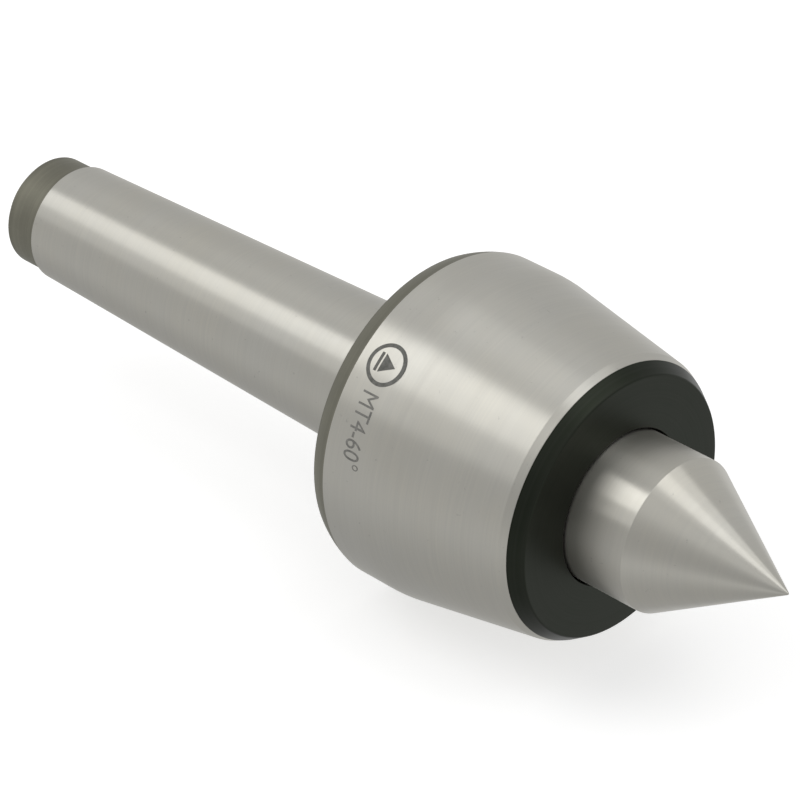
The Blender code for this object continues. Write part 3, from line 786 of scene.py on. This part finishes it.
place(wave_spring(), "wave_spring")


def cylinders(name, count, radius, length, segments, matrix_at):
    """A hidden tool of equal cylinders, each put in place by matrix_at(index)."""
    shape = bmesh.new()
    for index in range(count):
        bmesh.ops.create_cone(
            shape, cap_ends=True, segments=segments, radius1=radius, radius2=radius,
            depth=length, matrix=matrix_at(index))
    return finish_mesh(name, shape, [])


def boxes(name, count, size, matrix_at):
    """A hidden tool of equal boxes, each put in place by matrix_at(index)."""
    shape = bmesh.new()
    for index in range(count):
        scale = Matrix.Diagonal((*size, 1.0))
        bmesh.ops.create_cube(shape, size=1.0, matrix=matrix_at(index) @ scale)
    return finish_mesh(name, shape, [])


def combine(piece, tool, operation):
    """Apply a Boolean with a tool, then remove the tool."""
    modifier = piece.modifiers.new("Boolean", 'BOOLEAN')
    modifier.operation = operation
    modifier.object = tool
    bpy.context.view_layer.update()
    evaluated = piece.evaluated_get(bpy.context.evaluated_depsgraph_get())
    mesh = bpy.data.meshes.new_from_object(evaluated)
    piece.modifiers.clear()
    piece.data = mesh
    bpy.data.objects.remove(tool)


SOFTEN_ANGLE = math.radians(40)


def soften(piece, width):
    """Round the sharp edges that the Booleans left."""
    bevel = piece.modifiers.new("Edges", 'BEVEL')
    bevel.width = width
    bevel.segments = 2
    bevel.limit_method = 'ANGLE'
    bevel.angle_limit = SOFTEN_ANGLE
    bevel.use_clamp_overlap = True
    piece.data.shade_smooth()
    piece.data.set_sharp_from_angle(angle=SOFTEN_ANGLE)


# A quarter turn that lays local +Z along the world's +X. Used again, it turns +Z away from the axis.
AXIS_FRAME = Matrix.Rotation(math.pi / 2, 4, 'Y')


def around(index, count, radius, along):
    """A place on a circle round the axis, as in the CAD model's pattern."""
    turn = Matrix.Rotation(math.tau * index / count, 4, 'Z')
    return AXIS_FRAME @ turn @ Matrix.Translation((radius, 0, along))


def plain_ring(name, node, radii, steps, material):
    """A ring with square edges, as long as a node and ready to be cut."""
    inner, outer = radii
    rear, front, _ = span(node)
    outline = rounded([(outer, front), (outer, rear), (inner, rear), (inner, front)])
    ring = turned(name, outline, steps, [material])
    ring.modifiers.clear()
    return ring


LUG_TURN = math.radians(17)
LUG_STEPS, LUG_HOLE_STEPS = 32, 24
LUG_INSET = 0.02 * MM  # the lugs are this much thinner than the ring
LUG_HOLE = 0.45  # of the lug's radius
OPENING_WIDTH = 1.1  # of the distance from the middle to a lug
CUT_THROUGH = 3  # tools reach this many thicknesses, so that they cut right through
CLIP_EDGE = 0.08 * MM
OUTER_CLIP = 11.95 * MM, 14.6 * MM  # inner and outer radius
OUTER_LUGS = 14.4 * MM, 1.9 * MM  # radius of their circle and of a lug
INNER_CLIP = 10.3 * MM, needle_radius + 0.7 * MM
INNER_LUGS = 10.2 * MM, 1.4 * MM


def snap_ring(name, node, radii, lugs_at):
    """A snap ring for a node, open between two lugs with plier holes."""
    lug_circle, lug_radius = lugs_at
    rear, front, _ = span(node)
    middle = (rear + front) / 2
    thickness = front - rear
    tool_length = CUT_THROUGH * thickness
    opening_size = (radii[1], lug_circle * math.sin(LUG_TURN) * OPENING_WIDTH, tool_length)
    ring = plain_ring(name, node, radii, INNER_STEPS, spring_steel)

    def lug_place(index):
        turn = Matrix.Rotation(LUG_TURN * (1 if index else -1), 4, 'Z')
        return AXIS_FRAME @ turn @ Matrix.Translation((lug_circle, 0, middle))

    lugs = cylinders(name + "_lugs", 2, lug_radius, thickness - LUG_INSET, LUG_STEPS, lug_place)
    combine(ring, lugs, 'UNION')
    opening = boxes(
        name + "_opening", 1, opening_size,
        lambda index: AXIS_FRAME @ Matrix.Translation((lug_circle, 0, middle)))
    combine(ring, opening, 'DIFFERENCE')
    holes = cylinders(
        name + "_holes", 2, lug_radius * LUG_HOLE, tool_length, LUG_HOLE_STEPS, lug_place)
    combine(ring, holes, 'DIFFERENCE')
    soften(ring, CLIP_EDGE)
    place(ring, node)


snap_ring("outer_snap_ring", "spindle_retaining_ring", OUTER_CLIP, OUTER_LUGS)
snap_ring("inner_snap_ring", "needle_retaining_ring", INNER_CLIP, INNER_LUGS)


# ---------------------------------------------------------------- bearings

FRONT_BALLS = 9
FRONT_PITCH = 19.25 * MM
FRONT_BALL_RADIUS = 3.97 * MM
FRONT_GROOVE = 4.12 * MM
FRONT_SHOULDERS = 16.5 * MM, 22.0 * MM  # radii beside the grooves of the inner and outer ring
FRONT_CAGE = 18.3 * MM, 20.2 * MM  # inner and outer radius
FRONT_CAGE_EDGE = 0.15 * MM
FRONT_POCKET = 4.15 * MM
THRUST_BALLS = 10
THRUST_PITCH = 15.0 * MM
THRUST_BALL_RADIUS = 3.5 * MM
THRUST_GROOVE = 3.62 * MM
THRUST_HALF_GAP = 3.0 * MM
THRUST_WASHER_BORE = 10.8 * MM
THRUST_CAGE = 10.5 * MM, 19.5 * MM
THRUST_CAGE_EDGE = 0.12 * MM
THRUST_POCKET = 3.7 * MM
NEEDLES = 12
NEEDLE_PITCH = 8.8 * MM
NEEDLE_ROLLER_RADIUS = 1.18 * MM
NEEDLE_LENGTH = 12.8 * MM
NEEDLE_RIB = 1.4 * MM
NEEDLE_RIB_RADIUS = 9.75 * MM
NEEDLE_RACE = 10.05 * MM
NEEDLE_CAGE = 8.2 * MM, 9.4 * MM
NEEDLE_CAGE_EDGE = 0.08 * MM
NEEDLE_SLOT = 5.0 * MM, 2.6 * MM, 13.2 * MM  # outwards, across and along
NEEDLE_STEPS = 32
GROOVE_POINTS = 17
POCKET_STEPS = 48
POCKET_TOOL = 8.0 * MM

front_middle = (race_rear + race_front) / 2
thrust_front = span("thrust_bearing_shaft_washer")[1]
thrust_middle = (thrust_rear + thrust_front) / 2
needle_middle = (needle_rear + needle_front) / 2


def front_rings():
    """The deep-groove bearing's two rings."""
    inner_shoulder, outer_shoulder = FRONT_SHOULDERS
    center = (FRONT_PITCH, front_middle)
    half = math.acos((outer_shoulder - FRONT_PITCH) / FRONT_GROOVE)
    outer = rounded([
        (race_radius, race_front, ROUND_EDGE),
        (race_radius, race_rear, ROUND_EDGE),
        (outer_shoulder, race_rear, FINE_EDGE),
        *arc(center, FRONT_GROOVE, -half, half, GROOVE_POINTS),
        (outer_shoulder, race_front, FINE_EDGE),
    ])
    place(turned("outer_ring_with_groove", outer, INNER_STEPS, [race_steel]), "front_bearing_outer_ring")
    half = math.acos((FRONT_PITCH - inner_shoulder) / FRONT_GROOVE)
    bore = RACE_SEAT + SEAM
    inner = rounded([
        (inner_shoulder, race_front, FINE_EDGE),
        *arc(center, FRONT_GROOVE, math.pi - half, math.pi + half, GROOVE_POINTS),
        (inner_shoulder, race_rear, FINE_EDGE),
        (bore, race_rear, ROUND_EDGE),
        (bore, race_front, ROUND_EDGE),
    ])
    place(turned("inner_ring_with_groove", inner, INNER_STEPS, [race_steel]), "front_bearing_inner_ring")


def thrust_washers():
    """The two grooved washers of the thrust bearing."""
    half = math.acos(THRUST_HALF_GAP / THRUST_GROOVE)
    up = math.pi / 2
    center = (THRUST_PITCH, thrust_middle)
    _, front, outer = span("thrust_bearing_shaft_washer")
    bore = THRUST_SEAT + SEAM
    rear = thrust_middle + THRUST_HALF_GAP
    shaft_washer = rounded([
        (outer, front, SOFT_EDGE),
        (outer, rear, FINE_EDGE),
        *arc(center, THRUST_GROOVE, up - half, up + half, GROOVE_POINTS),
        (bore, rear, FINE_EDGE),
        (bore, front, SOFT_EDGE),
    ])
    place(
        turned("shaft_washer_with_groove", shaft_washer, INNER_STEPS, [race_steel]),
        "thrust_bearing_shaft_washer")
    front = thrust_middle - THRUST_HALF_GAP
    housing_washer = rounded([
        (thrust_radius, front, FINE_EDGE),
        (thrust_radius, thrust_rear, SOFT_EDGE),
        (THRUST_WASHER_BORE, thrust_rear, SOFT_EDGE),
        (THRUST_WASHER_BORE, front, FINE_EDGE),
        *arc(center, THRUST_GROOVE, -up - half, -up + half, GROOVE_POINTS),
    ])
    place(
        turned("housing_washer_with_groove", housing_washer, INNER_STEPS, [race_steel]),
        "thrust_bearing_housing_washer")


def needle_ring():
    """The needle bearing's outer ring with a rib at each end."""
    outline = rounded([
        (needle_radius, needle_front, SMALL_EDGE),
        (needle_radius, needle_rear, SMALL_EDGE),
        (NEEDLE_RIB_RADIUS, needle_rear, FINE_EDGE),
        (NEEDLE_RIB_RADIUS, needle_rear + NEEDLE_RIB),
        (NEEDLE_RACE, needle_rear + NEEDLE_RIB),
        (NEEDLE_RACE, needle_front - NEEDLE_RIB),
        (NEEDLE_RIB_RADIUS, needle_front - NEEDLE_RIB),
        (NEEDLE_RIB_RADIUS, needle_front, FINE_EDGE),
    ])
    place(turned("needle_outer_ring", outline, INNER_STEPS, [race_steel]), "needle_bearing_outer_ring")


def cage(name, node, radii, material, steps, tool, edge):
    """A ring pierced by a tool, with softened edges."""
    ring = plain_ring(name, node, radii, steps, material)
    combine(ring, tool, 'DIFFERENCE')
    soften(ring, edge)
    place(ring, node)


def rolling(prefix, node_prefix, count, pitch, along, make):
    """One finished ball or needle for each of the CAD model's."""
    for index in range(count):
        piece = make(f"{prefix}_{index + 1}", around(index, count, pitch, along))
        place(piece, f"{node_prefix}_{index + 1}")


def ball_maker(radius):
    """A maker of smooth balls of that radius."""
    def make(name, matrix):
        shape = bmesh.new()
        bmesh.ops.create_icosphere(shape, subdivisions=4, radius=radius, matrix=matrix)
        return finish_mesh(name, shape, [ball_steel], smooth_angle=60)
    return make


def needle_maker(radius, length):
    """A maker of needles with rounded ends."""
    outline = rounded([
        (0.0, length / 2),
        (radius, length / 2, SMALL_EDGE),
        (radius, -length / 2, SMALL_EDGE),
        (0.0, -length / 2),
    ], closed=False, facets=4)

    def make(name, matrix):
        piece = turned(name, outline, NEEDLE_STEPS, [ball_steel], closed=False)
        piece.data.transform(Matrix.Translation(matrix.translation))
        return piece
    return make


front_rings()
thrust_washers()
needle_ring()
cage(
    "machined_ball_cage", "front_bearing_cage", FRONT_CAGE, cage_brass, FRONT_BALLS * 16,
    cylinders(
        "front_pockets", FRONT_BALLS, FRONT_POCKET, POCKET_TOOL, POCKET_STEPS,
        lambda index: around(index, FRONT_BALLS, FRONT_PITCH, front_middle) @ AXIS_FRAME),
    FRONT_CAGE_EDGE)
cage(
    "thrust_ball_cage", "thrust_bearing_cage", THRUST_CAGE, cage_steel, THRUST_BALLS * 14,
    cylinders(
        "thrust_pockets", THRUST_BALLS, THRUST_POCKET, POCKET_TOOL, POCKET_STEPS,
        lambda index: around(index, THRUST_BALLS, THRUST_PITCH, thrust_middle)),
    THRUST_CAGE_EDGE)
cage(
    "slotted_needle_cage", "needle_bearing_cage", NEEDLE_CAGE, cage_steel, NEEDLES * 10,
    boxes(
        "needle_slots", NEEDLES, NEEDLE_SLOT,
        lambda index: around(index, NEEDLES, NEEDLE_PITCH, needle_middle)),
    NEEDLE_CAGE_EDGE)
rolling(
    "front_ball", "front_bearing_ball", FRONT_BALLS, FRONT_PITCH, front_middle,
    ball_maker(FRONT_BALL_RADIUS))
rolling(
    "thrust_ball", "thrust_bearing_ball", THRUST_BALLS, THRUST_PITCH, thrust_middle,
    ball_maker(THRUST_BALL_RADIUS))
rolling(
    "needle_roller", "needle", NEEDLES, NEEDLE_PITCH, needle_middle,
    needle_maker(NEEDLE_ROLLER_RADIUS, NEEDLE_LENGTH))


# ---------------------------------------------------------------- floor, light and camera

def look_matrix(place_at, target):
    """Where a camera at one point looks at another, with no roll."""
    back = (place_at - target).normalized()
    right = Vector((0, 0, 1)).cross(back).normalized()
    up = back.cross(right)
    turn = Matrix((right, up, back)).transposed().to_4x4()
    return Matrix.Translation(place_at) @ turn


def direction(azimuth, elevation):
    """Unit vector towards an azimuth (0 is -Y, 90 is +X) and elevation in degrees."""
    turn, rise = math.radians(azimuth), math.radians(elevation)
    return Vector((math.sin(turn) * math.cos(rise), -math.cos(turn) * math.cos(rise), math.sin(rise)))


FLOOR_REACH = 3.0  # metres from the middle to each side
FLOOR_GAP = 0.1 * MM
FLOOR_TONE = (0.70, 0.70, 0.70)
FLOOR_PALER = (0.72, 0.72, 0.72)
FLOOR_GLOW = 0.55
WHITE = (1, 1, 1, 1)


def add_floor():
    """A pale studio floor just under the housing. The steel does not mirror it."""
    shape = bmesh.new()
    bmesh.ops.create_grid(shape, x_segments=1, y_segments=1, size=FLOOR_REACH)
    bmesh.ops.translate(shape, verts=shape.verts, vec=(0, 0, cad_box[0][2] - FLOOR_GAP))
    material, shader = node_material("studio_floor", FLOOR_TONE, 0.7, 0.0)
    mottle = noise(material, EVEN, 3.0, 2.0)
    material.node_tree.links.new(
        blend_colors(material, spread(material, mottle, 0.0, 1.0), FLOOR_TONE, FLOOR_PALER),
        shader.inputs["Base Color"])
    shader.inputs["Emission Color"].default_value = WHITE
    shader.inputs["Emission Strength"].default_value = FLOOR_GLOW
    floor = finish_mesh("studio_floor", shape, [material])
    floor.visible_glossy = False


def add_panel(name, low_turn, high_turn, rear, front, radiance):
    """A soft light panel parallel to the X axis, 1 m from it, between two turns about the axis.

    Turns are degrees from straight in front (-Y) up over the top (90 is straight up).
    """
    along = Vector((1, 0, 0))
    middle = math.radians((low_turn + high_turn) / 2)
    width = 2 * math.tan(math.radians((high_turn - low_turn) / 2))
    light = bpy.data.lights.new(name, 'AREA')
    light.shape = 'RECTANGLE'
    light.size = front - rear
    light.size_y = width
    light.energy = radiance * math.pi * light.size * light.size_y
    outward = Vector((0, -math.cos(middle), math.sin(middle)))
    side = outward.cross(along)
    turn = Matrix((along, side, outward)).transposed().to_4x4()
    lamp = bpy.data.objects.new(name, light)
    lamp.matrix_world = Matrix.Translation(outward + along * (rear + front) / 2) @ turn
    bpy.context.scene.collection.objects.link(lamp)


SHADE_HEADING = (0.36, -0.91, 0.20)  # in front, where the surround is darker
SHADE_EDGE = 0.78, 1.0  # cosines from that heading where the shade starts and is deepest
GROUND_HEIGHTS = -0.35, -0.95  # heights of a heading where the darker ground starts and ends
BEHIND_DEPTHS = 0.1, 0.6  # how far a heading points behind, for no glow and all of it
BEHIND_HEIGHTS = 0.2, -0.35


def add_world(level, below, low_behind, in_front):
    """A pale surround: darker towards the ground and in front, a little brighter low down behind."""
    world = bpy.data.worlds.new("studio")
    bpy.context.scene.world = world
    world.use_nodes = True
    nodes, links = world.node_tree.nodes, world.node_tree.links
    heading = nodes.new("ShaderNodeTexCoord").outputs["Generated"]
    split = nodes.new("ShaderNodeSeparateXYZ")
    links.new(heading, split.inputs["Vector"])
    toward_front = nodes.new("ShaderNodeVectorMath")
    toward_front.operation = 'DOT_PRODUCT'
    toward_front.inputs[1].default_value = SHADE_HEADING
    links.new(heading, toward_front.inputs[0])

    def ramp(source, stretch, low=0.0, high=1.0):
        ranged = nodes.new("ShaderNodeMapRange")
        ranged.interpolation_type = 'SMOOTHSTEP'
        values = (
            ("From Min", stretch[0]), ("From Max", stretch[1]), ("To Min", low), ("To Max", high))
        for socket, value in values:
            ranged.inputs[socket].default_value = value
        links.new(source, ranged.inputs["Value"])
        return ranged.outputs["Result"]

    def joined(operation, first, second):
        node = nodes.new("ShaderNodeMath")
        node.operation = operation
        links.new(first, node.inputs[0])
        links.new(second, node.inputs[1])
        return node.outputs["Value"]

    height = split.outputs["Z"]
    surround = ramp(height, GROUND_HEIGHTS, level, below)
    behind = joined(
        'MULTIPLY', ramp(split.outputs["Y"], BEHIND_DEPTHS), ramp(height, BEHIND_HEIGHTS))
    glow = ramp(behind, (0.0, 1.0), 0.0, low_behind - level)
    shade = ramp(toward_front.outputs["Value"], SHADE_EDGE, 0.0, in_front - level)
    total = joined('ADD', joined('ADD', surround, glow), shade)
    background = nodes["Background"]
    background.inputs["Color"].default_value = WHITE
    links.new(total, background.inputs["Strength"])


# The photograph's view. Angles are in degrees, and the lens and sensor in millimetres as Blender has them.
VIEW_AZIMUTH = 44.8
VIEW_ELEVATION = 31.74
VIEW_DISTANCE = 775.16 * MM
VIEW_TARGET = Vector((-0.35, -2.57, 0.31)) * MM
VIEW_LENS = 174.63
VIEW_SENSOR = 36.0

# A panel's two turns in degrees, its rear and front end along X in metres, and its radiance.
add_floor()
add_panel("key_panel", 44.0, 73.5, -0.95, -0.12, 0.92)
add_panel("key_panel_front", 58.0, 73.5, -0.95, 0.15, 0.20)
add_panel("key_panel_skirt", 22.0, 73.5, -0.95, -0.15, 0.46)
add_panel("top_panel", 87.0, 109.0, 0.1, 0.7, 0.24)
add_panel("top_panel_back", 87.0, 130.0, 0.1, 0.7, 0.56)
add_panel("top_panel_skirt", 76.0, 109.0, -0.35, 0.7, 0.23)
add_world(level=0.63, below=0.49, low_behind=0.78, in_front=0.44)

camera_data = bpy.data.cameras.new("camera")
camera_data.sensor_width = VIEW_SENSOR
camera_data.lens = VIEW_LENS
camera = bpy.data.objects.new("camera", camera_data)
camera.matrix_world = look_matrix(
    VIEW_TARGET + direction(VIEW_AZIMUTH, VIEW_ELEVATION) * VIEW_DISTANCE, VIEW_TARGET)
bpy.context.scene.collection.objects.link(camera)
bpy.context.scene.camera = camera
bpy.context.scene.view_settings.view_transform = 'Standard'
